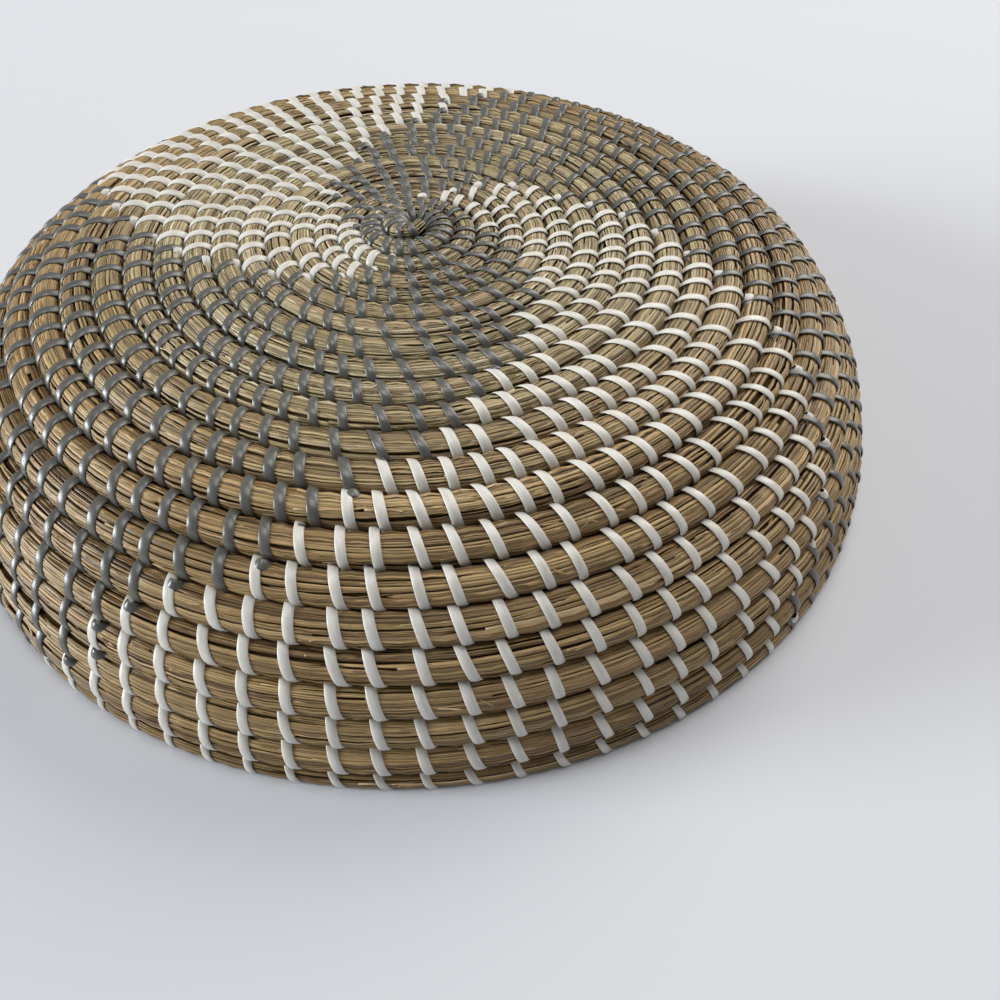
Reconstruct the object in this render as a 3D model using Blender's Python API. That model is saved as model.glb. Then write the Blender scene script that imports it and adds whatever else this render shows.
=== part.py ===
# A coiled grass basket lying upside down on its rim: one long grass cord wound
# from the middle of the base out to the rim, and the lines of flat strip
# stitches that hold each turn to the one before it.
# Metres, +Z up. The origin is on the basket's axis, at the level it rests on.

import math

import bmesh
import bpy
from mathutils import Vector

# Overall sizes, over the crests of the turns
basket_radius = 0.1615
basket_drop = 0.0797

# Grass cord: six-sided, measured corner to corner
middle_cord_diameter = 0.00775
wall_cord_diameter = 0.0103
turn_gap = 0.0010

# Stitch strips
strip_width = 0.0030
strip_thickness = 0.0005
touch_gap = 0.0003

# Counts and turning
cord_sides = 6
points_per_turn = 24
start_azimuth = math.radians(150)
first_stitched_turn = 4

# Outline over the crests, from the middle of the base to the rim:
# shares of the radius, and of the drop below the middle
outline_shares = (
    (0.0, 0.0), (0.09, 0.047), (0.18, 0.067), (0.39, 0.075), (0.62, 0.108), (0.75, 0.163),
    (0.86, 0.305), (0.94, 0.518), (0.985, 0.755), (1.0, 0.9), (1.0, 1.0),
)
outline_steps = 40

# Stretch of the outline over which the cord thickens, as shares of its length
thickening_shares = (0.09, 0.535)

# Where the base and the shoulder end, as shares of the turns
coil_end_shares = {"base_coil": 0.55, "shoulder_coil": 0.76, "wall_coil": None}

# Ends of the cord: where it starts, how thin, and how far it tapers into the rim
start_turn_share = 0.6
start_thickness_share = 0.5
start_taper_turn_share = 0.5
rim_taper_turn_share = 0.8
rim_flat_share = 0.1

# Stitch lines: how closely they follow the cord down into the valleys, how far
# their ends reach past a crest in turns, and how far they follow the tapered turn
dip_share = 0.9
line_end_turn_share = 0.4
rim_stitch_turn_share = 0.5

# Colour sectors: azimuths where the strips change colour at a reference turn,
# and how far the changes drift clockwise for each doubling of the turn number
reference_turn = 8
colour_changes = (
    (math.radians(-66), "white"),
    (math.radians(11), "grey"),
    (math.radians(100), "white"),
    (math.radians(191), "grey"),
)
drift_per_doubling = math.radians(45)

half_side_angle = math.pi / cord_sides
flat_share = math.cos(half_side_angle)
full_circle = math.tau

looks = {
    "grass": ((0.42, 0.29, 0.14, 1.0), 0.75),
    "white": ((0.80, 0.79, 0.76, 1.0), 0.45),
    "grey": ((0.13, 0.13, 0.135, 1.0), 0.40),
}


def clear_scene():
    for old in list(bpy.data.objects):
        bpy.data.objects.remove(old, do_unlink=True)


def make_materials():
    materials = {}
    for name, (colour, roughness) in looks.items():
        material = bpy.data.materials.new(name)
        material.use_nodes = True
        shader = material.node_tree.nodes["Principled BSDF"]
        shader.inputs["Base Color"].default_value = colour
        shader.inputs["Roughness"].default_value = roughness
        shader.inputs["Metallic"].default_value = 0.0
        material.diffuse_color = colour
        materials[name] = material
    return materials


def blend(value, low, high):
    share = min(max((value - low) / (high - low), 0.0), 1.0)
    return share * share * (3 - 2 * share)


def smooth_outline():
    """Points of the crest outline as (radius, height), rounded through the shares."""
    rest_level = -wall_cord_diameter * rim_flat_share
    knots = [
        Vector((r * basket_radius, rest_level + (1 - drop) * basket_drop))
        for r, drop in outline_shares
    ]
    slopes = []
    for i in range(len(knots)):
        before = knots[max(i - 1, 0)]
        after = knots[min(i + 1, len(knots) - 1)]
        slopes.append((after - before).normalized())
    points = []
    for i in range(len(knots) - 1):
        length = (knots[i + 1] - knots[i]).length
        for step in range(outline_steps):
            s = step / outline_steps
            start_weight = 2 * s**3 - 3 * s**2 + 1
            start_slope = s**3 - 2 * s**2 + s
            end_slope = s**3 - s**2
            point = knots[i] * start_weight + knots[i + 1] * (1 - start_weight)
            point += (slopes[i] * start_slope + slopes[i + 1] * end_slope) * length
            points.append(point)
    points.append(knots[-1])
    return points


class Wall:
    """The outline measured in turns of the cord, counted from the middle."""

    def __init__(self):
        self.points = smooth_outline()
        lengths = [(b - a).length for a, b in zip(self.points, self.points[1:])]
        total = sum(lengths)
        self.diameters = []
        centres = []
        travelled = 0.0
        for i, point in enumerate(self.points):
            share = blend(travelled / total, *thickening_shares)
            diameter = middle_cord_diameter + share * (wall_cord_diameter - middle_cord_diameter)
            self.diameters.append(diameter)
            along = self.direction(i)
            centres.append(point - Vector((-along.y, along.x)) * (diameter / 2))
            if i < len(lengths):
                travelled += lengths[i]
        self.turns = [0.0]
        for a, b, diameter in zip(centres, centres[1:], self.diameters):
            self.turns.append(self.turns[-1] + (b - a).length / (diameter * flat_share + turn_gap))

    def direction(self, i):
        """Direction of the outline at one of its points, towards the rim."""
        before = self.points[max(i - 1, 0)]
        after = self.points[min(i + 1, len(self.points) - 1)]
        return (after - before).normalized()

    def find(self, turn):
        low, high = 0, len(self.turns) - 1
        while high - low > 1:
            middle = (low + high) // 2
            if self.turns[middle] > turn:
                high = middle
            else:
                low = middle
        share = (turn - self.turns[low]) / (self.turns[high] - self.turns[low])
        return low, high, share

    def diameter(self, turn):
        low, high, share = self.find(turn)
        return self.diameters[low] * (1 - share) + self.diameters[high] * share

    def pitch(self, turn):
        return self.diameter(turn) * flat_share + turn_gap

    def crest(self, turn, azimuth, lift=0.0):
        """A point over the outline, with the outward and the rimward directions there."""
        low, high, share = self.find(turn)
        flat = self.points[low].lerp(self.points[high], share)
        along = self.direction(low).lerp(self.direction(high), share).normalized()
        outward = Vector((math.cos(azimuth), math.sin(azimuth), 0.0))
        rimward = outward * along.x + Vector((0.0, 0.0, along.y))
        normal = outward * -along.y + Vector((0.0, 0.0, along.x))
        place = outward * flat.x + Vector((0.0, 0.0, flat.y))
        return place + normal * lift, normal, rimward


wall = Wall()
turn_count = wall.turns[-1]
taper_start = turn_count - 0.5
cord_end = taper_start + rim_taper_turn_share


def azimuth_at(turn):
    return start_azimuth - turn * full_circle


def cord_section(turn):
    """Centre turn and radius of the cord, thin at its start and along the rim."""
    if turn > taper_start:
        taper = turn - taper_start
        return taper_start + taper / 2, wall.diameter(taper_start) / 2 * (1 - taper)
    share = blend(turn, start_turn_share, start_turn_share + start_taper_turn_share)
    thickness = start_thickness_share + share * (1 - start_thickness_share)
    return turn, wall.diameter(turn) / 2 * thickness


def cord_ring(turn):
    """Six corners of the cord, one of them out at the crest."""
    centre_turn, radius = cord_section(turn)
    centre, normal, rimward = wall.crest(centre_turn, azimuth_at(turn), -radius)
    corners = []
    for side in range(cord_sides):
        angle = side / cord_sides * full_circle
        corners.append(centre + (normal * math.cos(angle) + rimward * math.sin(angle)) * radius)
    return corners


def cut_ring(turn, shift):
    """A square-cut end halfway along a straight run, moved along it by a length."""
    low = math.floor(turn * points_per_turn) / points_per_turn
    near, far = cord_ring(low), cord_ring(low + 1 / points_per_turn)
    run = sum(far, Vector()) / cord_sides - sum(near, Vector()) / cord_sides
    share = 0.5 + shift / run.length
    return [a.lerp(b, share) for a, b in zip(near, far)]


def make_object(name, bm, material):
    bmesh.ops.recalc_face_normals(bm, faces=bm.faces)
    mesh = bpy.data.meshes.new(name)
    bm.to_mesh(mesh)
    bm.free()
    mesh.materials.append(material)
    item = bpy.data.objects.new(name, mesh)
    bpy.context.scene.collection.objects.link(item)
    return item


def bridge_rings(rings):
    bm = bmesh.new()
    loops = [[bm.verts.new(corner) for corner in ring] for ring in rings]
    sides = len(loops[0])
    for near, far in zip(loops, loops[1:]):
        for i in range(sides):
            j = (i + 1) % sides
            bm.faces.new((near[i], near[j], far[j], far[i]))
    bm.faces.new(loops[0])
    bm.faces.new(reversed(loops[-1]))
    return bm


def steps_between(first, last):
    """Turn numbers of the cord's corners from one place to another."""
    low = math.ceil(first * points_per_turn - 1e-6)
    high = math.floor(last * points_per_turn + 1e-6)
    return [step / points_per_turn for step in range(low, high + 1)]


def split_turn(share):
    """The middle of the straight run nearest to a share of the turns."""
    return (round(turn_count * share * points_per_turn) + 0.5) / points_per_turn


def make_coils(material):
    """The cord in three stretches, parted by a small gap, each with square ends."""
    coils = {}
    first = start_turn_share
    rings = []
    for name, end_share in coil_end_shares.items():
        last = split_turn(end_share) if end_share else cord_end
        rings += [cord_ring(turn) for turn in steps_between(first, last)]
        if end_share:
            rings.append(cut_ring(last, -touch_gap / 2))
        coils[name] = make_object(name, bridge_rings(rings), material)
        smooth_round(coils[name])
        if end_share:
            rings = [cut_ring(last, touch_gap / 2)]
            first = last
    cut = coils["wall_coil"].modifiers.new("rim_flat", "BOOLEAN")
    cut.operation = "DIFFERENCE"
    cut.solver = "EXACT"
    cut.object = make_rim_cutter(material)


def make_rim_cutter(material):
    """A slab whose top is the level that the rim rests on."""
    depth = wall_cord_diameter
    bm = bmesh.new()
    bmesh.ops.create_cube(bm, size=1.0)
    reach = 2 * (basket_radius + wall_cord_diameter)
    for corner in bm.verts:
        corner.co.x *= reach
        corner.co.y *= reach
        corner.co.z = (corner.co.z - 0.5) * depth
    cutter = make_object("rim_cutter", bm, material)
    cutter.hide_render = True
    cutter.display_type = "WIRE"
    return cutter


def smooth_round(item):
    item.data.shade_smooth()
    item.data.set_sharp_from_angle(angle=2 * half_side_angle + math.radians(5))


def strip_colour(turn, azimuth):
    """Colour of the strip that sews a turn at an azimuth."""
    drift = drift_per_doubling * math.log2(turn / reference_turn)
    turned = (azimuth + drift - colour_changes[0][0]) % full_circle
    colour = colour_changes[-1][1]
    for change, name in colour_changes:
        if turned >= change - colour_changes[0][0]:
            colour = name
    return colour


def line_station(turn, fall_turns, azimuth):
    """Four corners of a stitch line, a distance in turns to the side of the nearest crest."""
    fall = fall_turns * wall.pitch(turn) * math.tan(half_side_angle) * dip_share
    below, normal, _ = wall.crest(turn, azimuth, touch_gap - fall)
    sideways = Vector((-math.sin(azimuth), math.cos(azimuth), 0.0)) * (strip_width / 2)
    above = below + normal * strip_thickness
    return [below - sideways, below + sideways, above + sideways, above - sideways]


def line_turns(line):
    """Turn numbers where a stitch line crosses the cord's crests."""
    last = taper_start + rim_stitch_turn_share
    turns = []
    turn = first_stitched_turn + line / points_per_turn
    while turn <= last:
        turns.append(turn)
        turn += 1
    return turns


def make_stitch_line(line, materials):
    """One line of stitches from the middle to the rim, in a piece for each colour."""
    azimuth = azimuth_at(line / points_per_turn)
    runs = []
    for turn in line_turns(line):
        colour = strip_colour(turn, azimuth)
        if not runs or runs[-1][0] != colour:
            runs.append((colour, []))
        runs[-1][1].append(turn)
    for letter, (colour, turns) in zip("abcd", runs):
        crests = [cord_section(turn)[0] for turn in turns]
        rings = [line_station(crests[0] - line_end_turn_share, line_end_turn_share, azimuth)]
        for crest, next_crest in zip(crests, crests[1:]):
            valley = crest + 0.5
            rings.append(line_station(crest, 0.0, azimuth))
            rings.append(line_station(valley, next_crest - valley, azimuth))
        rings.append(line_station(crests[-1], 0.0, azimuth))
        if turns[-1] + 1 < taper_start:
            rings.append(line_station(crests[-1] + line_end_turn_share, line_end_turn_share, azimuth))
        name = f"{colour}_stitch_line_{line + 1:02d}{letter}"
        make_object(name, bridge_rings(rings), materials[colour])


def segment_gap(a, b, c, d):
    """Least distance between two straight runs, tried at points along them."""
    tries = [i / 6 for i in range(7)]
    return min((a.lerp(b, s) - c.lerp(d, t)).length for s in tries for t in tries)


def least_cord_gap():
    """Least clear distance between one turn of the cord and the next, on its corners."""
    least = wall_cord_diameter
    for turn in steps_between(start_turn_share, cord_end - 1):
        near = cord_ring(turn)
        for next_turn in (turn + 1 - 1 / points_per_turn, turn + 1, turn + 1 + 1 / points_per_turn):
            if next_turn > cord_end:
                continue
            far = cord_ring(next_turn)
            for i in range(cord_sides):
                for j in range(cord_sides):
                    gap = segment_gap(
                        near[i], near[(i + 1) % cord_sides], far[j], far[(j + 1) % cord_sides]
                    )
                    least = min(least, gap)
    return least


def build():
    clear_scene()
    materials = make_materials()
    make_coils(materials["grass"])
    for line in range(points_per_turn):
        make_stitch_line(line, materials)
    print(f"turns of the cord: {cord_end - start_turn_share:.2f} (outline {turn_count:.2f})")
    print(f"least gap of the cord to itself: {least_cord_gap() * 1000:.2f} mm")


build()
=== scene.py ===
import math

import bpy
import numpy as np
from mathutils import Matrix, Vector


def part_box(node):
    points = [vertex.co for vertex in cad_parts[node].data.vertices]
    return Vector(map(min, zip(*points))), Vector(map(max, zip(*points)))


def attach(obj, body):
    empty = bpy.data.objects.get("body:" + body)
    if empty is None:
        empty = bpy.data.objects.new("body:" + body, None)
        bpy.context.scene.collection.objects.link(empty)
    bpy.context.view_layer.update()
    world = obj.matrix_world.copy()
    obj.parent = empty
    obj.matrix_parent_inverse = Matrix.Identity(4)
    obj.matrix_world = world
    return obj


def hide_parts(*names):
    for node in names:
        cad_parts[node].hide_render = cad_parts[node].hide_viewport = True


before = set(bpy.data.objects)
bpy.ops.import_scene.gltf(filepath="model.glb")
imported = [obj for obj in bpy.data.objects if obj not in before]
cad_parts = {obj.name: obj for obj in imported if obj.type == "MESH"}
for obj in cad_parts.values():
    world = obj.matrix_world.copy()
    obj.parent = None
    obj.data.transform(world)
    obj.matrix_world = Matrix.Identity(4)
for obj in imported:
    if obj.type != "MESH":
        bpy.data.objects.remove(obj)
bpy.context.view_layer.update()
print("frame loaded")

# The basket: one long cord of grass wound from the middle of the base to the rim.
basket = {
    "radius": 0.1615,
    "drop": 0.0797,                # from the middle of the base to the end of the outline
    "middleCord": 0.00775,
    "wallCord": 0.0103,
    "turnGap": 0.0010,
    "thickening": (0.09, 0.535),   # shares of the way to the rim
    "outline": (                   # shares of the radius and of the drop
        (0.0, 0.0), (0.09, 0.047), (0.18, 0.067), (0.39, 0.075), (0.62, 0.108), (0.75, 0.163),
        (0.86, 0.305), (0.94, 0.518), (0.985, 0.755), (1.0, 0.9), (1.0, 1.0),
    ),
    "outlineSteps": 40,
    "measureSteps": 24000,
    "rimFlatShare": 0.1,           # of the cord, that the rim would reach below the table
    "startAzimuth": 150,           # degrees, and the cord winds clockwise from there
    "firstTurn": 0.5,
    "startThickness": 0.5,
    "startTaperTurns": 0.5,
    "rimTaperTurns": 0.8,
    "rimTaperLag": 0.5,            # turns that the middle of the thinning cord falls back
    "tuckTaper": (0.45, 0.80),     # where the thin end slips in below the row above
    "squareness": 2.4,             # 2 is a round cord, more is a squarer one
    "coarsestStep": 0.004,         # between stations along the cord
    "finestStep": 0.0012,
    "stepAngle": 0.15,             # radians round the middle, for the steps in between
    "pressReach": 0.0012,          # the rim is pressed flat below this height
    "pressDepth": 0.000195,        # more lets more of it lie flat
    "clearance": 0.00003,
}


def blend(value, low, high):
    share = np.clip((value - low) / (high - low), 0.0, 1.0)
    return share * share * (3 - 2 * share)


def unit(vectors):
    return vectors / np.maximum(np.linalg.norm(vectors, axis=-1, keepdims=True), 1e-12)


def roundedOutline():
    level = -basket["wallCord"] * basket["rimFlatShare"]
    knots = np.array([
        (r * basket["radius"], level + (1 - drop) * basket["drop"]) for r, drop in basket["outline"]
    ])
    last = len(knots) - 1
    slopes = unit(np.array([knots[min(i + 1, last)] - knots[max(i - 1, 0)] for i in range(last + 1)]))
    points = []
    for i in range(last):
        length = np.linalg.norm(knots[i + 1] - knots[i])
        for step in range(basket["outlineSteps"]):
            s = step / basket["outlineSteps"]
            weight = 2 * s**3 - 3 * s**2 + 1
            bow = slopes[i] * (s**3 - 2 * s**2 + s) + slopes[i + 1] * (s**3 - s**2)
            points.append(knots[i] * weight + knots[i + 1] * (1 - weight) + bow * length)
    points.append(knots[-1])
    return np.array(points)


def measureOutline():
    points = roundedOutline()
    last = len(points) - 1
    lengths = np.linalg.norm(np.diff(points, axis=0), axis=1)
    travelled = np.concatenate([[0.0], np.cumsum(lengths)])
    share = blend(travelled / travelled[-1], *basket["thickening"])
    cords = basket["middleCord"] + share * (basket["wallCord"] - basket["middleCord"])
    along = unit(np.array([points[min(i + 1, last)] - points[max(i - 1, 0)] for i in range(last + 1)]))
    centres = points - np.stack([-along[:, 1], along[:, 0]], axis=1) * cords[:, None] / 2
    # Rows lie as far apart as six-sided cords do, flat to flat.
    pitches = cords * math.cos(math.pi / 6) + basket["turnGap"]
    steps = np.linalg.norm(np.diff(centres, axis=0), axis=1) / pitches[:-1]
    turns = np.concatenate([[0.0], np.cumsum(steps)])
    return {
        "turns": turns, "radius": points[:, 0], "height": points[:, 1],
        "alongR": along[:, 0], "alongZ": along[:, 1], "cords": cords, "pitches": pitches,
    }


outline = measureOutline()
taperStart = outline["turns"][-1] - basket["rimTaperLag"]
lastTurn = taperStart + basket["rimTaperTurns"]


def onOutline(name, turn):
    return np.interp(turn, outline["turns"], outline[name])


def azimuthAt(turn):
    return math.radians(basket["startAzimuth"]) - turn * math.tau


def framesAt(turn):
    # Centre, outward normal, direction to the rim and half sizes of the cord at turn numbers.
    turn = np.asarray(turn, float)
    taper = np.clip(turn - taperStart, 0.0, 1.0)
    centreTurn = turn - taper * basket["rimTaperLag"]
    grown = blend(turn, basket["firstTurn"], basket["firstTurn"] + basket["startTaperTurns"])
    started = basket["startThickness"] + grown * (1 - basket["startThickness"])
    azimuth = azimuthAt(turn)
    outward = np.stack([np.cos(azimuth), np.sin(azimuth), np.zeros_like(azimuth)], axis=-1)
    up = np.array([0.0, 0.0, 1.0])
    slope = unit(np.stack([onOutline("alongR", centreTurn), onOutline("alongZ", centreTurn)], axis=-1))
    normal = up * slope[..., :1] - outward * slope[..., 1:]
    rimward = outward * slope[..., :1] + up * slope[..., 1:]
    crest = outward * onOutline("radius", centreTurn)[..., None]
    crest = crest + up * onOutline("height", centreTurn)[..., None]
    tuck = blend(taper, *basket["tuckTaper"]) * taper
    depth = onOutline("cords", centreTurn) / 2 * started
    wide = onOutline("pitches", centreTurn) / 2 * started
    return {
        "centre": crest - normal * (depth * (1 - taper + tuck))[..., None], "normal": normal,
        "rimward": rimward, "high": depth * (1 - taper), "wide": wide * (1 - taper),
    }


def sizeOf(frames):
    # Thickness of the cord, where 1 is the thickness of the wall's.
    return frames["high"] / (basket["wallCord"] / 2)


def measureCord():
    turns = np.linspace(basket["firstTurn"], lastTurn, basket["measureSteps"])
    centres = framesAt(turns)["centre"]
    lengths = np.linalg.norm(np.diff(centres, axis=0), axis=1)
    return turns, np.concatenate([[0.0], np.cumsum(lengths)])


cordTurns, cordLengths = measureCord()
cordLength = cordLengths[-1]
print(f"cord {cordLength:.2f} m long in {lastTurn - basket['firstTurn']:.2f} turns")


def turnAt(length):
    return np.interp(length, cordLengths, cordTurns)


def lengthAt(turn):
    return np.interp(turn, cordTurns, cordLengths)


def stationLengths():
    places = [0.0]
    while places[-1] < cordLength:
        reach = onOutline("radius", turnAt(places[-1])) * basket["stepAngle"]
        places.append(places[-1] + min(max(reach, basket["finestStep"]), basket["coarsestStep"]))
    places[-1] = cordLength
    return np.array(places)


stations = stationLengths()
print(f"{len(stations)} stations along the cord")


# Flat strips that sew each turn to the one before it.
stitching = {
    "seed": 11,
    "firstTurn": 0.55,
    "lastTurnMargin": 0.12,
    "width": 0.0029,
    "widthSpread": 0.05,
    "thickness": 0.00018,
    "crown": 0.00021,
    "section": (                   # across in half widths, height in thicknesses and in crowns
        (-1.0, 0.0, 0.0), (-0.95, 0.7, 0.0), (-0.8, 1.0, 0.3), (-0.4, 1.0, 0.84), (0.0, 1.0, 1.0),
        (0.4, 1.0, 0.84), (0.8, 1.0, 0.3), (0.95, 0.7, 0.0), (1.0, 0.0, 0.0),
    ),
    "underside": -0.00002,         # height of its middle line
    "tilt": 5,                  # degrees that the edge towards the next stitch stands up
    "lift": 0.00010,
    "spacingTurns": (0.5, 1.5, 2.5, 3.5, 4.5, 6, 9, 11, 13, 15, 18, 21),
    "spacings": (
        0.0033, 0.0040, 0.0054, 0.0065, 0.0074, 0.0084, 0.0088, 0.0096, 0.0102, 0.0108, 0.0113,
        0.0118,
    ),
    "rimColumns": 81,              # stitches in the last whole turn, one below the other
    "rimPhase": -82.6,             # azimuth in degrees of one of them
    "leanTurns": (1, 6, 10, 13, 16, 21),
    "leanShares": (0.68, 0.62, 0.56, 0.48, 0.41, 0.38),   # of the spacing, over the outside
    "leanSpread": 0.06,
    "jitterShare": 0.035,
    "widestShare": 1.17,
    "narrowestShare": 0.84,
    "dropShare": 0.62,             # a gap under this loses a stitch
    "pierceDepth": 0.0015,
    "piercePower": 6,
    "outsideSteps": 12,
    "insideSteps": 9,
    "pinch": 0.00022,              # the cord is drawn in under each stitch
    "bulge": 0.00004,              # and swells a little between two
    "pinchHalf": 0.00175,          # half the length that is drawn in
    "pinchGapShare": 0.32,         # the longest, of the way to the next stitch
    "greyTurns": 2.45,             # all grey up to here
    "archLength": 0.0046,          # of the new strip's end that shows beside the last old stitch
    "archGapShare": 0.6,           # the longest arch, of the way to the next stitch
    "archStart": (0.82, 1.05),     # of its length, before that stitch
    "archHeights": (-0.75, -0.17),   # foot and top, of half the cord's height from its crest
    "archPower": 0.5,
    "archPlace": 0.80,
    "archTilt": 0.35,
    "archWidth": 0.95,
    "archSteps": 14,
    "archSpread": 0.12,
}

# Where the strips change colour: azimuths in degrees at turn numbers, read along each sweep.
changes = {
    "greyToWhiteFront": (
        (1.5, 35), (2.5, 12), (3.5, -6), (4.5, -20), (5.5, -33), (6.5, -46), (7.5, -56), (8.5, -64),
        (9.4, -72), (10.1, -80), (11.5, -89), (12.5, -95), (13.5, -101), (14.5, -107), (15.7, -112),
        (16.6, -118), (17.8, -123), (22, -140),
    ),
    "whiteToGreyRight": (
        (1.5, 95), (2.5, 80), (3.5, 65), (4.5, 51), (5.4, 39), (7.1, 19), (8, 11), (9.5, -2),
        (11.1, -12), (12.1, -17), (13, -21), (14.1, -26), (15, -30), (16, -32), (17, -36),
        (18.3, -41), (19, -45), (20.3, -49), (22, -52),
    ),
    "greyToWhiteBack": (
        (1.5, 185), (2.5, 165), (3.5, 150), (4.5, 137), (5.9, 121), (6.8, 109), (8, 101),
        (8.7, 95), (9.9, 88), (11.1, 81), (12.8, 73), (15, 65), (18, 57), (22, 50),
    ),
    "whiteToGreyLeft": (
        (1.5, 270), (2.5, 252), (3.5, 238), (4.3, 222), (5.5, 209), (6.3, 202), (7.3, 197),
        (8.2, 190), (9.3, 184), (10.4, 173), (11.8, 165), (14, 156), (17, 146), (22, 135),
    ),
}


def changeAzimuth(name, turn):
    places = np.array(changes[name], float)
    return np.interp(turn, places[:, 0], places[:, 1])


def stripColour(turn):
    if turn < stitching["greyTurns"]:
        return "grey"
    front = changeAzimuth("greyToWhiteFront", turn)
    past = (math.degrees(azimuthAt(turn)) - front) % 360
    for name, colour in (
        ("whiteToGreyRight", "white"), ("greyToWhiteBack", "grey"), ("whiteToGreyLeft", "white"),
    ):
        if past < changeAzimuth(name, turn) - front:
            return colour
    return "grey"


def placeStitches():
    # From the rim inwards: each stitch stands above one of the next turn, where the spacing allows.
    rng = np.random.default_rng(stitching["seed"])
    phase = (basket["startAzimuth"] - stitching["rimPhase"]) / 360
    count = stitching["rimColumns"]
    last = lastTurn - stitching["lastTurnMargin"]
    first = last - 1
    numbers = np.arange(math.ceil((first - phase) * count), math.floor((last - phase) * count) + 1)
    turns = list((phase + numbers / count)[::-1])
    below = 0
    while True:
        here = turns[-1]
        start = lengthAt(here)
        spacing = np.interp(here, stitching["spacingTurns"], stitching["spacings"])
        gap = start - lengthAt(turns[below] - 1)
        while gap < spacing * stitching["dropShare"]:
            below += 1
            gap = start - lengthAt(turns[below] - 1)
        gap = np.clip(gap, spacing * stitching["narrowestShare"], spacing * stitching["widestShare"])
        gap *= 1 + rng.normal(0, stitching["jitterShare"])
        if start - gap < lengthAt(stitching["firstTurn"]):
            return np.array(turns[::-1])
        turns.append(float(turnAt(start - gap)))


crestTurns = placeStitches()
stitchColours = [stripColour(turn) for turn in crestTurns]
stitchLengths = lengthAt(crestTurns)
stitchGaps = np.diff(stitchLengths)
stitchGaps = np.append(stitchGaps, stitchGaps[-1])
leanShares = np.interp(crestTurns, stitching["leanTurns"], stitching["leanShares"])
leanRng = np.random.default_rng(stitching["seed"])
leanShares = leanShares + leanRng.normal(0, stitching["leanSpread"], len(crestTurns))
stitchLeans = stitchGaps * leanShares
stitchLengths = stitchLengths + stitchLeans / 2
stitchGaps[:-1] = np.diff(stitchLengths)
print(f"{len(stitchLengths)} stitches")


def cordSurface(frames, theta, lift):
    # Points round the cord: theta 0 is out at the crest, and a quarter turn on is towards the rim.
    power = basket["squareness"]
    c, s = np.cos(theta), np.sin(theta)
    stretch = (np.abs(c) ** power + np.abs(s) ** power) ** (-1 / power)
    x = c * stretch * (frames["high"] + lift)
    y = s * stretch * (frames["wide"] + lift)
    return frames["centre"] + frames["normal"] * x[..., None] + frames["rimward"] * y[..., None]


def cordOutward(frames, theta):
    power = basket["squareness"] - 1
    c, s = np.cos(theta), np.sin(theta)
    x = np.sign(c) * np.abs(c) ** power
    y = np.sign(s) * np.abs(s) ** power
    return unit(frames["normal"] * x[..., None] + frames["rimward"] * y[..., None])


def bandShift(theta, lean, gap):
    # How far along the cord a stitch has moved at an angle round it.
    outside = -lean * (theta + math.pi / 2) / math.pi
    inside = -lean + (gap + lean) * (theta - math.pi / 2) / math.pi
    return np.where(theta < math.pi / 2, outside, inside)


def crossings(theta):
    # Where the stitches cross a line that runs along the cord at an angle round it.
    theta = (theta + math.pi / 2) % math.tau - math.pi / 2
    return stitchLengths + bandShift(theta, stitchLeans, stitchGaps)


# Mesh building: rings of points joined into closed tubes, many tubes to a mesh.
def ringAngles(sides):
    return np.arange(sides) / sides * math.tau


def tubeRings(middle, sideways, outward, section, breadth, depth):
    # One ring of points at each place of a tube, from its section and its half sizes there.
    across, high = section
    rings = middle[:, None] + sideways[:, None] * (across[:, None] * breadth[:, None, None])
    return rings + outward[:, None] * (high[:, None] * depth[:, None, None])


def placeOn(rings, along, across, mark):
    # Where the fibres are read: along the piece, across it, and a number of its own.
    place = np.empty(rings.shape)
    place[..., 0] = along[:, None]
    place[..., 1] = across
    place[..., 2] = mark
    return place


def newParts():
    return {"points": [], "quads": [], "caps": [], "tone": [], "wallShare": [], "place": [], "count": 0}


def addTube(parts, rings, tone, wallShare, place):
    rows, sides = rings.shape[:2]
    grid = parts["count"] + np.arange(rows * sides).reshape(rows, sides)
    turned = np.roll(grid, -1, axis=1)
    quads = np.stack([grid[:-1], turned[:-1], turned[1:], grid[1:]], axis=-1)
    parts["points"].append(rings.reshape(-1, 3))
    parts["quads"].append(quads.reshape(-1, 4))
    parts["caps"].append(grid[0][::-1])
    parts["caps"].append(grid[-1])
    parts["tone"].append(np.full(rows * sides, tone))
    parts["wallShare"].append(np.repeat(wallShare, sides))
    parts["place"].append(place.reshape(-1, 3))
    parts["count"] += rows * sides


def pressedFlat(height):
    # What meets the table is pressed flat on it.
    span = basket["pressReach"] + basket["pressDepth"]
    pressed = span * np.exp((height - basket["pressReach"]) / span) - basket["pressDepth"]
    return np.where(height < basket["pressReach"], np.maximum(pressed, basket["clearance"]), height)


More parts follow.
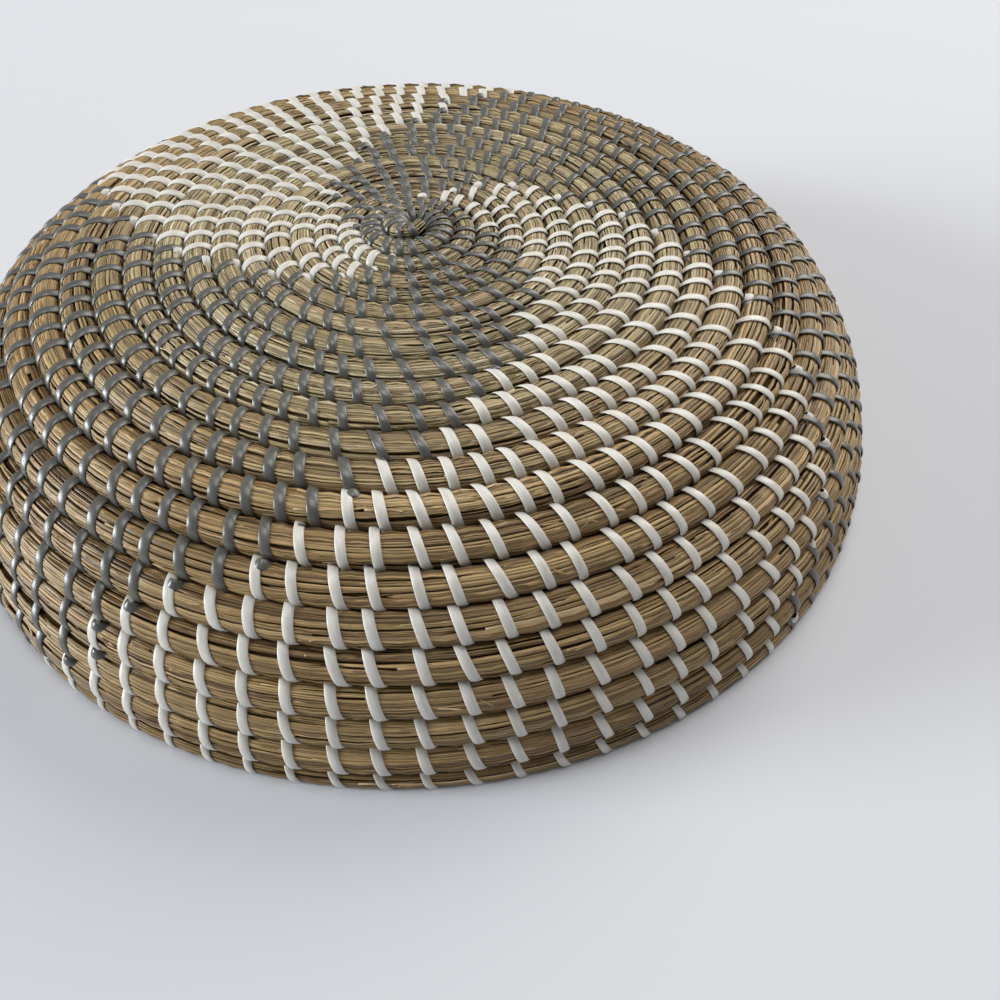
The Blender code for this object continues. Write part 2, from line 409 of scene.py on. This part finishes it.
def meshFrom(name, parts, material):
    points = np.concatenate(parts["points"])
    points[:, 2] = pressedFlat(points[:, 2])
    quads = np.concatenate(parts["quads"])
    loops = np.concatenate([quads.ravel(), *parts["caps"]]).astype(np.int32)
    sizes = np.concatenate([np.full(len(quads), 4), [len(cap) for cap in parts["caps"]]])
    starts = np.concatenate([[0], np.cumsum(sizes)[:-1]]).astype(np.int32)
    mesh = bpy.data.meshes.new(name)
    mesh.vertices.add(len(points))
    mesh.vertices.foreach_set("co", points.astype(np.float32).ravel())
    mesh.loops.add(len(loops))
    mesh.loops.foreach_set("vertex_index", loops)
    mesh.polygons.add(len(starts))
    mesh.polygons.foreach_set("loop_start", starts)
    mesh.update(calc_edges=True)
    mesh.validate()
    mesh.shade_smooth()
    for attribute in ("tone", "wallShare"):
        values = mesh.attributes.new(attribute, "FLOAT", "POINT")
        values.data.foreach_set("value", np.concatenate(parts[attribute]).astype(np.float32))
    place = mesh.attributes.new("place", "FLOAT_VECTOR", "POINT")
    place.data.foreach_set("vector", np.concatenate(parts["place"]).astype(np.float32).ravel())
    mesh.materials.append(material)
    piece = bpy.data.objects.new(name, mesh)
    bpy.context.scene.collection.objects.link(piece)
    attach(piece, "root")
    return piece


# Materials
fibreLook = {
    "markSpread": 10,              # each stem and strip has a number up to this
    "apart": 37.0,                 # and is read so many times that number away
    "detail": 3.0,
    "roughness": 0.6,
}


def addNode(tree, kind, spot, **values):
    node = tree.nodes.new(kind)
    node.location = spot
    for name, value in values.items():
        setattr(node, name, value)
    return node


def fibreGroup():
    # Long fine streaks that run along a stem or a strip.
    group = bpy.data.node_groups.new("longFibres", "ShaderNodeTree")
    for name, kind in (("Place", "Vector"), ("Along", "Float"), ("Across", "Float")):
        group.interface.new_socket(name, in_out="INPUT", socket_type=f"NodeSocket{kind}")
    group.interface.new_socket("Streaks", in_out="OUTPUT", socket_type="NodeSocketFloat")
    source = addNode(group, "NodeGroupInput", (-800, 0))
    result = addNode(group, "NodeGroupOutput", (400, 0))
    split = addNode(group, "ShaderNodeSeparateXYZ", (-600, 0))
    longWay = addNode(group, "ShaderNodeMath", (-400, 120), operation="MULTIPLY")
    sideWay = addNode(group, "ShaderNodeMath", (-400, -60), operation="MULTIPLY")
    apart = addNode(group, "ShaderNodeMath", (-400, -240), operation="MULTIPLY")
    apart.inputs[1].default_value = fibreLook["apart"]
    join = addNode(group, "ShaderNodeCombineXYZ", (-200, 0))
    noise = addNode(group, "ShaderNodeTexNoise", (0, 0))
    noise.inputs["Scale"].default_value = 1.0
    noise.inputs["Detail"].default_value = fibreLook["detail"]
    noise.inputs["Roughness"].default_value = fibreLook["roughness"]
    link = group.links.new
    link(source.outputs["Place"], split.inputs[0])
    link(split.outputs["X"], longWay.inputs[0])
    link(source.outputs["Along"], longWay.inputs[1])
    link(split.outputs["Y"], sideWay.inputs[0])
    link(source.outputs["Across"], sideWay.inputs[1])
    link(split.outputs["Z"], apart.inputs[0])
    link(longWay.outputs[0], join.inputs["X"])
    link(sideWay.outputs[0], join.inputs["Y"])
    link(apart.outputs[0], join.inputs["Z"])
    link(join.outputs[0], noise.inputs["Vector"])
    link(noise.outputs["Fac"], result.inputs["Streaks"])
    return group


fibres = fibreGroup()


def addFibres(tree, place, spot, along, across):
    node = addNode(tree, "ShaderNodeGroup", spot, node_tree=fibres)
    node.inputs["Along"].default_value = along
    node.inputs["Across"].default_value = across
    tree.links.new(place.outputs["Vector"], node.inputs["Place"])
    return node


def addRamp(tree, spot, stops):
    ramp = addNode(tree, "ShaderNodeValToRGB", spot)
    elements = ramp.color_ramp.elements
    while len(elements) < len(stops):
        elements.new(0.5)
    for element, (position, colour) in zip(elements, stops):
        element.position = position
        element.color = (*colour, 1.0)
    return ramp


def setRange(node, end, low, high):
    node.inputs[f"{end} Min"].default_value = low
    node.inputs[f"{end} Max"].default_value = high


def addFinish(tree, streaks, roughness, relief, specular):
    # The streaks also roughen the surface and stand up from it a little.
    shader = tree.nodes["Principled BSDF"]
    rough = addNode(tree, "ShaderNodeMapRange", (-500, -100))
    setRange(rough, "To", *roughness)
    bump = addNode(tree, "ShaderNodeBump", (-300, -300))
    strength, distance = relief
    bump.inputs["Strength"].default_value = strength
    bump.inputs["Distance"].default_value = distance
    tree.links.new(streaks.outputs["Streaks"], rough.inputs["Value"])
    tree.links.new(rough.outputs["Result"], shader.inputs["Roughness"])
    tree.links.new(streaks.outputs["Streaks"], bump.inputs["Height"])
    tree.links.new(bump.outputs["Normal"], shader.inputs["Normal"])
    shader.inputs["Specular IOR Level"].default_value = specular


grassLook = {
    "stops": (
        (0.0, (0.140, 0.090, 0.041)), (0.12, (0.230, 0.166, 0.081)), (0.35, (0.355, 0.275, 0.143)),
        (0.60, (0.455, 0.360, 0.199)), (0.80, (0.575, 0.472, 0.285)), (0.88, (0.400, 0.345, 0.167)),
        (0.94, (0.360, 0.225, 0.121)), (1.0, (0.770, 0.685, 0.486)),
    ),
    # multiplies the colour more the nearer the wall: browner and warmer grass there than on the base
    "wallTint": (0.865, 0.715, 0.55),
    "roughness": (0.31, 0.53),
    "relief": (0.5, 0.0002),       # strength and depth
    "specular": 0.46,
    "streaks": (10.0, 2.0),        # scale along and across
    "streakRange": (0.37, 0.55),
    "streakShade": (0.25, 1.20),
    "patches": (22.0, 0.6),
    "patchShift": 0.3,
    # painted shade: the core's colour is darkened to this share, standing in for the inner grass that
    # lies in shadow
    "coreShade": 0.2,
    "coreSpecular": 0.0,
}


def grassMaterial(name, darken, specular):
    material = bpy.data.materials.new(name)
    material.use_nodes = True
    tree = material.node_tree
    link = tree.links.new
    tone = addNode(tree, "ShaderNodeAttribute", (-1400, 300), attribute_name="tone")
    place = addNode(tree, "ShaderNodeAttribute", (-1400, 0), attribute_name="place")
    streaks = addFibres(tree, place, (-1100, 0), *grassLook["streaks"])
    patches = addFibres(tree, place, (-1100, -250), *grassLook["patches"])
    ramp = addRamp(tree, (-800, 300), grassLook["stops"])
    shift = addNode(tree, "ShaderNodeMath", (-950, 150), operation="MULTIPLY_ADD")
    shift.inputs[1].default_value = grassLook["patchShift"]
    link(patches.outputs["Streaks"], shift.inputs[0])
    bias = addNode(tree, "ShaderNodeMath", (-1100, 300), operation="SUBTRACT")
    bias.inputs[1].default_value = grassLook["patchShift"] / 2
    link(tone.outputs["Fac"], bias.inputs[0])
    link(bias.outputs[0], shift.inputs[2])
    link(shift.outputs[0], ramp.inputs["Fac"])
    shade = addNode(tree, "ShaderNodeMapRange", (-800, 0))
    low, high = grassLook["streakShade"]
    setRange(shade, "From", *grassLook["streakRange"])
    # a darken under 1 paints shade into the colour, as for the core
    setRange(shade, "To", low * darken, high * darken)
    link(streaks.outputs["Streaks"], shade.inputs["Value"])
    mix = addNode(tree, "ShaderNodeMix", (-500, 200), data_type="RGBA", blend_type="MULTIPLY")
    mix.inputs["Factor"].default_value = 1.0
    link(ramp.outputs["Color"], mix.inputs["A"])
    link(shade.outputs["Result"], mix.inputs["B"])
    wallShare = addNode(tree, "ShaderNodeAttribute", (-500, 450), attribute_name="wallShare")
    warm = addNode(tree, "ShaderNodeMix", (-250, 200), data_type="RGBA", blend_type="MULTIPLY")
    warm.inputs["B"].default_value = (*grassLook["wallTint"], 1.0)
    link(wallShare.outputs["Fac"], warm.inputs["Factor"])
    link(mix.outputs["Result"], warm.inputs["A"])
    link(warm.outputs["Result"], tree.nodes["Principled BSDF"].inputs["Base Color"])
    addFinish(tree, streaks, grassLook["roughness"], grassLook["relief"], specular)
    return material


stripLook = {
    "colours": {                   # darkest, palest, range of roughness
        "white": ((0.58, 0.555, 0.50), (0.75, 0.722, 0.66), (0.28, 0.50)),
        "grey": ((0.080, 0.078, 0.070), (0.130, 0.126, 0.113), (0.22, 0.40)),
    },
    "lines": (60.0, 9.0),          # scale along and across
    "clouds": (160.0, 1.0),
    "cloudRange": (0.3, 0.7),
    "relief": (0.35, 0.0001),      # strength and depth
    "specular": 0.65,
}


def stripMaterial(name, dark, pale, roughness):
    material = bpy.data.materials.new(name)
    material.use_nodes = True
    tree = material.node_tree
    place = addNode(tree, "ShaderNodeAttribute", (-1200, 0), attribute_name="place")
    lines = addFibres(tree, place, (-900, 0), *stripLook["lines"])
    clouds = addFibres(tree, place, (-900, -250), *stripLook["clouds"])
    ramp = addRamp(tree, (-600, 200), tuple(zip(stripLook["cloudRange"], (dark, pale))))
    tree.links.new(clouds.outputs["Streaks"], ramp.inputs["Fac"])
    tree.links.new(ramp.outputs["Color"], tree.nodes["Principled BSDF"].inputs["Base Color"])
    addFinish(tree, lines, roughness, stripLook["relief"], stripLook["specular"])
    return material


grassPaint = grassMaterial("dry_grass", 1.0, grassLook["specular"])
# the core material is painted dark: painted shade for the grass deep in the cracks between the stems
corePaint = grassMaterial("grass_in_shade", grassLook["coreShade"], grassLook["coreSpecular"])
stripPaints = {
    colour: stripMaterial(f"{colour}_plastic_strip", *look)
    for colour, look in stripLook["colours"].items()
}
print("materials made")


# The grass: stems side by side round the cord, over a core whose dark colour is painted shade, so that
# it shows as shadow in the cracks between them.
grass = {
    "seed": 5,
    "lanes": (
        # Rows of stems side by side: outside, inside, and finer ones that lie over the outside.
        {
            "reach": (-92, 92), "count": 20, "sides": 6, "length": (0.05, 0.30), "width": (0.40, 0.86),
            "gap": (-0.012, 0.002), "lift": 0.0,
        },
        {
            "reach": (92, 268), "count": 12, "sides": 4, "length": (0.05, 0.30), "width": (0.45, 0.85),
            "gap": (-0.012, 0.002), "lift": 0.0,
        },
        {
            "reach": (-84, 84), "count": 11, "sides": 4, "length": (0.02, 0.12), "width": (0.10, 0.22),
            "gap": (0.005, 0.10), "lift": 0.00010,
        },
    ),
    "heightShare": (0.45, 0.80),   # half heights, of the half widths
    "boxiness": 0.65,
    "wallShareTurns": (9.0, 15.0),      # the grass turns browner from the base to the wall
    "tilt": 15,                    # degrees that stems are turned about their own length
    "swell": 0.08,
    "laneSpread": 0.25,
    "wanderStep": 0.038,
    "wanderShare": 0.17,
    "driftShare": 1.7,             # of a lane, that a stem crosses from end to end
    "riseSpread": 0.00010,
    "fewestStations": 4,           # a shorter stem is left out
    "laneStart": 0.0005,           # no stitch nearer the coil's start than this is counted
    "tuck": 0.0010,                # a stem's end dips in under its neighbours
    "tuckLength": 0.006,
    "tuckNarrowing": 0.4,
    "cutEndShare": 0.35,           # of the ends stay up instead
    "coreDepth": 0.0009,
    "coreSides": 20,
    "coreStride": 2,               # stations from ring to ring
    "coreTone": 0.3,
    "coreStreaks": 4,
    "coreMark": 0.5,
    # Turn numbers where the coil is parted into pieces of like size.
    "groupTurns": (0.0, 6.6, 9.6, 12.1, 14.1, 15.9, 17.5, 19.1, 20.6, 30.0),
    "groupNames": (
        "grass_coil_middle", "grass_coil_base", "grass_coil_base_edge", "grass_coil_shoulder",
        "grass_coil_wall_top", "grass_coil_wall", "grass_coil_wall_low", "grass_coil_wall_foot",
        "grass_coil_rim",
    ),
}


def laneStations(theta):
    # Places along one lane: at both edges of each stitch that crosses it and halfway to the next.
    crossing = crossings(theta)
    gaps = np.diff(crossing, append=crossing[-1] + stitchGaps[-1])
    half = np.minimum(stitching["pinchHalf"], gaps * stitching["pinchGapShare"])
    places = np.stack([crossing - half, crossing + half, crossing + gaps / 2], axis=1)
    under = np.tile([1.0, 1.0, 0.0], (len(crossing), 1))
    places, under = places.ravel(), under.ravel()
    inside = (places > grass["laneStart"]) & (places < places[-1])
    places, under = places[inside], under[inside]
    rest = np.arange(places[-1] + basket["coarsestStep"], cordLength, basket["coarsestStep"])
    places = np.concatenate([[0.0], places, rest])
    under = np.concatenate([[0.0], under, np.zeros(len(rest))])
    return places, under


def wander(rng, lengths, step, amount):
    # A smooth random value along a length.
    knots = rng.normal(0.0, amount, int((lengths[-1] - lengths[0]) / step) + 3)
    where = (lengths - lengths[0]) / step
    low = where.astype(int)
    share = blend(where - low, 0.0, 1.0)
    return knots[low] * (1 - share) + knots[low + 1] * share


def stemRings(rng, stem, lengths, under, frames):
    laneAngle = stem["laneAngle"]
    theta = stem["angle"] + wander(rng, lengths, grass["wanderStep"], grass["wanderShare"] * laneAngle)
    drift = rng.normal(0, grass["driftShare"] / 2) * laneAngle
    theta = theta + drift * np.linspace(-1, 1, len(lengths))
    rise = wander(rng, lengths, grass["wanderStep"], grass["riseSpread"])
    size = sizeOf(frames)
    tucked = np.zeros(len(lengths))
    for away, cut in zip((lengths - lengths[0], lengths[-1] - lengths), stem["cuts"]):
        if not cut:
            tucked = np.maximum(tucked, 1 - blend(away / grass["tuckLength"], 0.0, 1.0))
    free = rise * size + stitching["bulge"] + stem["lift"]
    lift = free * (1 - under) - stitching["pinch"] * under * size - tucked * grass["tuck"] * size
    middle = cordSurface(frames, theta, lift - stem["halfHeight"] * size)
    outward = cordOutward(frames, theta)
    sideways = unit(np.cross(outward, unit(np.gradient(middle, axis=0))))
    swell = 1 + wander(rng, lengths, grass["wanderStep"], grass["swell"])
    narrowing = 1 - grass["tuckNarrowing"] * tucked
    tilt = math.radians(grass["tilt"]) * wander(rng, lengths, grass["wanderStep"], 1.0)
    tilt = (tilt * (1 - under))[:, None]
    c, s = np.cos(tilt), np.sin(tilt)
    around = ringAngles(stem["sides"]) + math.pi / 2
    section = [np.sign(v) * np.abs(v) ** grass["boxiness"] for v in (np.cos(around), np.sin(around))]
    rings = tubeRings(
        middle, sideways * c + outward * s, outward * c - sideways * s, section,
        stem["halfWidth"] * size * swell * narrowing, stem["halfHeight"] * size * narrowing,
    )
    mark = stem["mark"] * fibreLook["markSpread"]
    return rings, placeOn(rings, lengths - stem["start"], np.sin(around) + np.cos(around), mark)


def makeGrass():
    rng = np.random.default_rng(grass["seed"])
    groups = [newParts() for _ in grass["groupNames"]]
    for lanes in grass["lanes"]:
        first, last = (math.radians(angle) for angle in lanes["reach"])
        laneAngle = (last - first) / lanes["count"]
        for lane in range(lanes["count"]):
            angle = first + (lane + 0.5) * laneAngle
            places, under = laneStations(angle)
            frames = framesAt(turnAt(places))
            start = -rng.uniform(0, lanes["length"][1])
            while start < cordLength:
                # The random draws of a stem that is left out still take their turn.
                length = rng.uniform(*lanes["length"])
                cuts = rng.random(2) < grass["cutEndShare"]
                halfWidth = laneAngle * basket["wallCord"] / 2 * rng.uniform(*lanes["width"])
                halfHeight = halfWidth * rng.uniform(*grass["heightShare"])
                tone, mark = rng.random(2)
                stem = {
                    "start": start, "cuts": cuts, "halfWidth": halfWidth, "halfHeight": halfHeight,
                    "mark": mark, "angle": angle + rng.normal(0, grass["laneSpread"]) * laneAngle,
                    "laneAngle": laneAngle, "sides": lanes["sides"], "lift": lanes["lift"],
                }
                low = np.searchsorted(places, max(start, 0.0))
                high = np.searchsorted(places, min(start + length, cordLength))
                if high - low >= grass["fewestStations"]:
                    here = {name: values[low:high] for name, values in frames.items()}
                    rings, place = stemRings(rng, stem, places[low:high], under[low:high], here)
                    turns = turnAt(places[low:high])
                    group = np.searchsorted(grass["groupTurns"], turns[len(turns) // 2]) - 1
                    addTube(groups[group], rings, tone, blend(turns, *grass["wallShareTurns"]), place)
                start += length + rng.uniform(*lanes["gap"])
    pieces = []
    for name, parts in zip(grass["groupNames"], groups):
        pieces.append(meshFrom(name, parts, grassPaint))
        print(f"{name}: {len(pieces[-1].data.polygons)} faces")
    return pieces


def makeCore():
    # a tube under the stems, painted dark as the shade in the cracks between them
    lengths = stations[::grass["coreStride"]]
    turns = turnAt(lengths)
    frames = framesAt(turns)
    lift = -grass["coreDepth"] * sizeOf(frames)
    around = ringAngles(grass["coreSides"])
    rings = np.stack([cordSurface(frames, theta, lift) for theta in around], axis=1)
    place = placeOn(rings, lengths, around * grass["coreStreaks"], grass["coreMark"])
    parts = newParts()
    addTube(parts, rings, grass["coreTone"], blend(turns, *grass["wallShareTurns"]), place)
    return meshFrom("grass_core", parts, corePaint)


straws = {
    "seed": 21,
    "count": 260,
    "room": (0.22, 0.80),          # of the way from one stitch to the next
    "length": 0.009,
    "shortest": 0.4,               # of that length
    "angleSpread": 42,             # degrees from the crest
    "widestAngle": 78,
    "onwardShare": 0.5,            # of them point on along the coil, the rest point back
    "crossing": 0.20,              # radians that the loose end turns aside
    "rise": 0.00025,
    "root": 0.0004,                # how deep the other end sits
    "halfWidth": (0.00022, 0.00048),
    "flatness": 0.5,
    "taper": 0.3,
    "steps": 7,
    "sides": 5,
    "tone": (0.55, 1.0),
}


def makeStraws():
    # Short cut ends of straw that lie on the cord between two stitches.
    rng = np.random.default_rng(straws["seed"])
    parts = newParts()
    share = np.linspace(0, 1, straws["steps"])
    around = ringAngles(straws["sides"]) + math.pi / 2
    section = np.cos(around), np.sin(around)
    low, high = straws["room"]
    widest = math.radians(straws["widestAngle"])
    for _ in range(straws["count"]):
        stitch = rng.integers(len(stitchLengths) - 1)
        gap = stitchGaps[stitch]
        angle = np.clip(rng.normal(0, math.radians(straws["angleSpread"])), -widest, widest)
        reach = min(straws["length"], gap * (high - low)) * rng.uniform(straws["shortest"], 1.0)
        start = stitchLengths[stitch] + bandShift(angle, stitchLeans[stitch], gap)
        start += rng.uniform(gap * low, gap * high - reach)
        way = share if rng.random() < straws["onwardShare"] else 1 - share
        turns = turnAt(np.clip(start + way * reach, 0.0, cordLength))
        angle = angle + share * rng.normal(0, straws["crossing"])
        rise = rng.exponential(straws["rise"]) * share**2 - straws["root"] * (1 - share)
        frames = framesAt(turns)
        middle = cordSurface(frames, angle, rise)
        outward = cordOutward(frames, angle)
        sideways = unit(np.cross(outward, unit(np.gradient(middle, axis=0))))
        half = rng.uniform(*straws["halfWidth"]) * (1 - straws["taper"] * share)
        rings = tubeRings(middle, sideways, outward, section, half, half * straws["flatness"])
        mark = rng.random() * fibreLook["markSpread"]
        place = placeOn(rings, share * reach, np.sin(around) + np.cos(around), mark)
        wallShare = blend(turns, *grass["wallShareTurns"])
        addTube(parts, rings, rng.uniform(*straws["tone"]), wallShare, place)
    return meshFrom("grass_straws", parts, grassPaint)


grassPieces = makeGrass()
core = makeCore()
looseStraws = makeStraws()
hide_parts("base_coil")
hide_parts("shoulder_coil")
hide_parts("wall_coil")
print("grass made")


def stripPath(first, last):
    # The way of one strip through its stitches, as lengths along the cord and angles round it.
    outside = np.linspace(-math.pi / 2, math.pi / 2, stitching["outsideSteps"], endpoint=False)
    inside = np.linspace(math.pi / 2, 1.5 * math.pi, stitching["insideSteps"], endpoint=False)
    theta = np.concatenate([outside, inside])
    lengths, angles = [], []
    for stitch in range(first, last):
        shift = bandShift(theta, stitchLeans[stitch], stitchGaps[stitch])
        lengths.append(stitchLengths[stitch] + shift)
        angles.append(theta)
    return np.concatenate(lengths), np.concatenate(angles)


def ribbonRings(path, outward, half, mark):
    # A flat strip with crisp edges and a slightly rounded back.
    ahead = unit(np.gradient(path, axis=0))
    sideways = unit(np.cross(ahead, outward))
    outward = unit(np.cross(sideways, ahead))
    thickness, crown = stitching["thickness"], stitching["crown"]
    section = [
        (across, thickness * flat + crown * bowed) for across, flat, bowed in stitching["section"]
    ]
    section.append((0.0, stitching["underside"]))
    slope = math.tan(math.radians(stitching["tilt"]))
    points = []
    for across, rise in section:
        point = path + sideways * (across * half)[:, None]
        points.append(point + outward * (rise + (1 + across) * slope * half)[:, None])
    rings = np.stack(points, axis=1)
    travelled = np.cumsum(np.linalg.norm(np.diff(path, axis=0), axis=1))
    along = np.concatenate([[0.0], travelled])
    return rings, placeOn(rings, along, np.array([across for across, _ in section]), mark)


def stripRings(lengths, angles, width, mark):
    frames = framesAt(turnAt(np.clip(lengths, 0.0, cordLength)))
    size = sizeOf(frames)
    path = cordSurface(frames, angles, stitching["lift"] - stitching["pinch"] * size)
    size = np.sqrt(size)
    towardsMiddle = np.maximum(0.0, -np.sin(angles)) ** stitching["piercePower"]
    path = path - frames["rimward"] * (towardsMiddle * stitching["pierceDepth"] * size)[:, None]
    return ribbonRings(path, cordOutward(frames, angles), width / 2 * size, mark)


def archRings(rng, stitch, width, mark):
    # The end of a new strip shows in the valley as a small flat arch beside the last old stitch.
    scale = 1 + rng.normal(0, stitching["archSpread"])
    share = np.linspace(0, 1, stitching["archSteps"])
    reach = min(stitching["archLength"], stitchGaps[stitch] * stitching["archGapShare"]) * scale
    lengths = stitchLengths[stitch] + (share - rng.uniform(*stitching["archStart"])) * reach
    frames = framesAt(turnAt(np.clip(lengths, 0.0, cordLength)))
    bow = np.sin(share * math.pi) ** stitching["archPower"]
    low, high = stitching["archHeights"]
    height = frames["high"] * (1 + low + (high - low) * bow * scale)
    path = frames["centre"] - frames["rimward"] * (frames["wide"] * stitching["archPlace"])[:, None]
    path = path + frames["normal"] * height[:, None]
    outward = unit(frames["normal"] - frames["rimward"] * stitching["archTilt"])
    half = width / 2 * np.sqrt(sizeOf(frames)) * stitching["archWidth"]
    return ribbonRings(path, outward, half, mark)


def sharpenEdges(piece):
    # The two long edges of a strip are crisp. Its rings have one point more, on the underside.
    edge = len(stitching["section"]) - 1
    sides = edge + 2
    mesh = piece.data
    ends = np.empty(len(mesh.edges) * 2, np.int32)
    mesh.edges.foreach_get("vertices", ends)
    ends = ends.reshape(-1, 2)
    along = np.abs(ends[:, 0] - ends[:, 1]) == sides
    crisp = along & np.isin(ends[:, 0] % sides, (0, edge))
    mesh.attributes.new("sharp_edge", "BOOLEAN", "EDGE").data.foreach_set("value", crisp)


def makeStrips():
    rng = np.random.default_rng(stitching["seed"] + 1)
    pieces = {"white": [], "grey": []}
    first = 0
    while first < len(stitchLengths):
        last = first
        while last < len(stitchLengths) and stitchColours[last] == stitchColours[first]:
            last += 1
        colour = stitchColours[first]
        width = stitching["width"] * (1 + rng.normal(0, stitching["widthSpread"]))
        mark = rng.random() * fibreLook["markSpread"]
        rings, place = stripRings(*stripPath(first, last), width, mark)
        parts = newParts()
        addTube(parts, rings, rng.random(), np.zeros(len(rings)), place)
        if first:
            rings, place = archRings(rng, first - 1, width, mark)
            addTube(parts, rings, 0.0, np.zeros(len(rings)), place)
        name = f"{colour}_strip_{len(pieces[colour]) + 1:02d}"
        piece = meshFrom(name, parts, stripPaints[colour])
        sharpenEdges(piece)
        pieces[colour].append(piece)
        first = last
    print(f"{len(pieces['white'])} white and {len(pieces['grey'])} grey strips")
    return pieces


def nearestStrip(node, strips):
    low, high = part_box(node)
    middle = (np.array(low) + np.array(high)) / 2

    def away(strip):
        points = np.empty(len(strip.data.vertices) * 3, np.float32)
        strip.data.vertices.foreach_get("co", points)
        return np.linalg.norm(points.reshape(-1, 3) - middle, axis=1).min()

    return min(strips, key=away)


strips = makeStrips()
# Each line of stitches in the CAD model gives way to the nearest strip of its colour.
replaced = {}
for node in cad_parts:
    for colour in strips:
        if node.startswith(f"{colour}_stitch_line"):
            replaced.setdefault(nearestStrip(node, strips[colour]).name, []).append(node)
for name, nodes in replaced.items():
    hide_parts(*nodes)
print("strips made")


# Table, camera and light
studio = {
    "floorSize": 3.2,
    "floorColour": (0.63, 0.64, 0.675),
    "floorRoughness": 0.9,
    "floorSpecular": 0.2,
    "cameraPlace": (0.0, -0.2882, 0.2550),
    "heading": 6.04,               # degrees right of +Y
    "dip": 47.54,
    "roll": 0.93,
    "lens": 35.85,
    "sensorWidth": 36.0,
    "clipStart": 0.01,
    "lamps": {
        # name: place, size, power, colour
        "window_light": ((-6.60, 0.0, 1.68), 2.6, 545.0, (0.91, 0.962, 1.0)),
        "back_light": ((1.97, 1.97, 1.95), 2.6, 92.0, (1.0, 0.965, 0.90)),
        "top_light": ((0.0, 0.3, 3.4), 1.5, 40.0, (1.0, 1.0, 1.0)),
    },
    "worldStrength": 0.2,
    "worldColour": (0.94, 0.96, 1.0),
    "backdropColour": (0.86, 0.86, 0.86),
}


def makeFloor():
    half = studio["floorSize"] / 2
    corners = [(-half, -half, 0), (half, -half, 0), (half, half, 0), (-half, half, 0)]
    mesh = bpy.data.meshes.new("table")
    mesh.from_pydata(corners, [], [(0, 1, 2, 3)])
    material = bpy.data.materials.new("pale_table")
    material.use_nodes = True
    shader = material.node_tree.nodes["Principled BSDF"]
    shader.inputs["Base Color"].default_value = (*studio["floorColour"], 1.0)
    shader.inputs["Roughness"].default_value = studio["floorRoughness"]
    shader.inputs["Specular IOR Level"].default_value = studio["floorSpecular"]
    mesh.materials.append(material)
    floor = bpy.data.objects.new("table", mesh)
    bpy.context.scene.collection.objects.link(floor)


def makeCamera():
    heading, dip, roll = (math.radians(studio[name]) for name in ("heading", "dip", "roll"))
    level = math.cos(dip)
    forward = Vector((math.sin(heading) * level, math.cos(heading) * level, -math.sin(dip)))
    right = Vector((math.cos(heading), -math.sin(heading), 0.0))
    up = right.cross(forward)
    turnedRight = right * math.cos(roll) + up * math.sin(roll)
    turnedUp = turnedRight.cross(forward)
    data = bpy.data.cameras.new("camera")
    data.lens = studio["lens"]
    data.sensor_width = studio["sensorWidth"]
    data.clip_start = studio["clipStart"]
    camera = bpy.data.objects.new("camera", data)
    columns = Matrix((turnedRight, turnedUp, -forward)).transposed()
    camera.matrix_world = Matrix.Translation(studio["cameraPlace"]) @ columns.to_4x4()
    bpy.context.scene.collection.objects.link(camera)
    bpy.context.scene.camera = camera


def makeLamp(name, place, size, power, colour):
    data = bpy.data.lights.new(name, "AREA")
    data.size = size
    data.energy = power
    data.color = colour
    lamp = bpy.data.objects.new(name, data)
    lamp.location = place
    lamp.rotation_euler = (-Vector(place)).to_track_quat("-Z", "Y").to_euler()
    bpy.context.scene.collection.objects.link(lamp)


def makeWorld():
    world = bpy.data.worlds.new("studio")
    world.use_nodes = True
    tree = world.node_tree
    tree.nodes.clear()
    output = addNode(tree, "ShaderNodeOutputWorld", (400, 0))
    soft = addNode(tree, "ShaderNodeBackground", (0, 100))
    soft.inputs["Color"].default_value = (*studio["worldColour"], 1.0)
    soft.inputs["Strength"].default_value = studio["worldStrength"]
    seen = addNode(tree, "ShaderNodeBackground", (0, -100))
    seen.inputs["Color"].default_value = (*studio["backdropColour"], 1.0)
    path = addNode(tree, "ShaderNodeLightPath", (0, 400))
    mix = addNode(tree, "ShaderNodeMixShader", (200, 0))
    tree.links.new(path.outputs["Is Camera Ray"], mix.inputs["Fac"])
    tree.links.new(soft.outputs[0], mix.inputs[1])
    tree.links.new(seen.outputs[0], mix.inputs[2])
    tree.links.new(mix.outputs[0], output.inputs["Surface"])
    bpy.context.scene.world = world


makeFloor()
makeCamera()
for name, settings in studio["lamps"].items():
    makeLamp(name, *settings)
makeWorld()
bpy.context.scene.view_settings.view_transform = "Standard"
print("studio ready")
